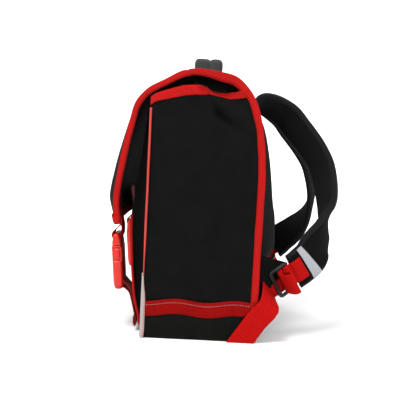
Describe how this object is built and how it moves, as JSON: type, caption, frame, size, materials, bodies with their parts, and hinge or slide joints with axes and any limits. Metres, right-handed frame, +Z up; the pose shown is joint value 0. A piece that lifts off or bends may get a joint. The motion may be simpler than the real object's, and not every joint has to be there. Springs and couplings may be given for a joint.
{
  "type": "school backpack",
  "caption": "Soft box school backpack in black cloth bound with red tape, with a fold-over flap closed by side-release buckles, a front pocket, a carry handle and padded shoulder straps",
  "frame": {"origin": "point of the base's flat underside midway between the sides, in line with the middle of the body's depth", "axes": "+X to the bag's right side as the flap is faced from behind, -Y the flap's front, +Y the side with the back pad and shoulder straps, +Z up"},
  "size_m": [0.3107, 0.3166, 0.3859],
  "materials": {
    "black_cloth": "woven black polyester, fine plain weave, slight sheen",
    "red_tape": "red woven binding tape, stitched along its edges",
    "red_webbing": "red ribbed polyester webbing",
    "red_plastic": "moulded orange-red acetal, satin gloss",
    "black_plastic": "moulded black acetal",
    "soft_grip": "matte dark grey soft-grip moulding",
    "padded_mesh": "black spacer mesh over foam",
    "reflective_tape": "silver-grey reflective tape, fine ribs"
  },
  "bodies": {
    "root": {"back_pad": "padded_mesh", "back_panel": "black_cloth", "base": "black_cloth", "buckle_plug_left": "red_plastic", "buckle_plug_right": "red_plastic", "buckle_socket_left": "red_plastic", "buckle_socket_right": "red_plastic", "carry_handle": "soft_grip", "edge_binding_left": "red_tape", "edge_binding_right": "red_tape", "flap": "black_cloth", "flap_hem_binding": "red_tape", "front_panel": "black_cloth", "front_piping_left": "red_tape", "front_piping_right": "red_tape", "ladder_lock_left": "black_plastic", "ladder_lock_right": "black_plastic", "lower_closure_webbing_left": "red_webbing", "lower_closure_webbing_right": "red_webbing", "lower_webbing_left": "red_webbing", "lower_webbing_right": "red_webbing", "mouth_tape_left": "red_tape", "mouth_tape_right": "red_tape", "pocket_front": "black_cloth", "pocket_gusset_left": "black_cloth", "pocket_gusset_right": "black_cloth", "pocket_piping": "red_tape", "reflective_strip_left": "reflective_tape", "reflective_strip_right": "reflective_tape", "shoulder_strap_left": "padded_mesh", "shoulder_strap_right": "padded_mesh", "side_band_left": "red_tape", "side_band_right": "red_tape", "side_panel_left": "black_cloth", "side_panel_right": "black_cloth", "strap_end_webbing_left": "red_webbing", "strap_end_webbing_right": "red_webbing", "strap_reflector_left": "reflective_tape", "strap_reflector_right": "reflective_tape", "upper_closure_webbing_left": "red_webbing", "upper_closure_webbing_right": "red_webbing", "webbing_wing_left": "black_cloth", "webbing_wing_right": "black_cloth"}
  },
  "joints": []
}
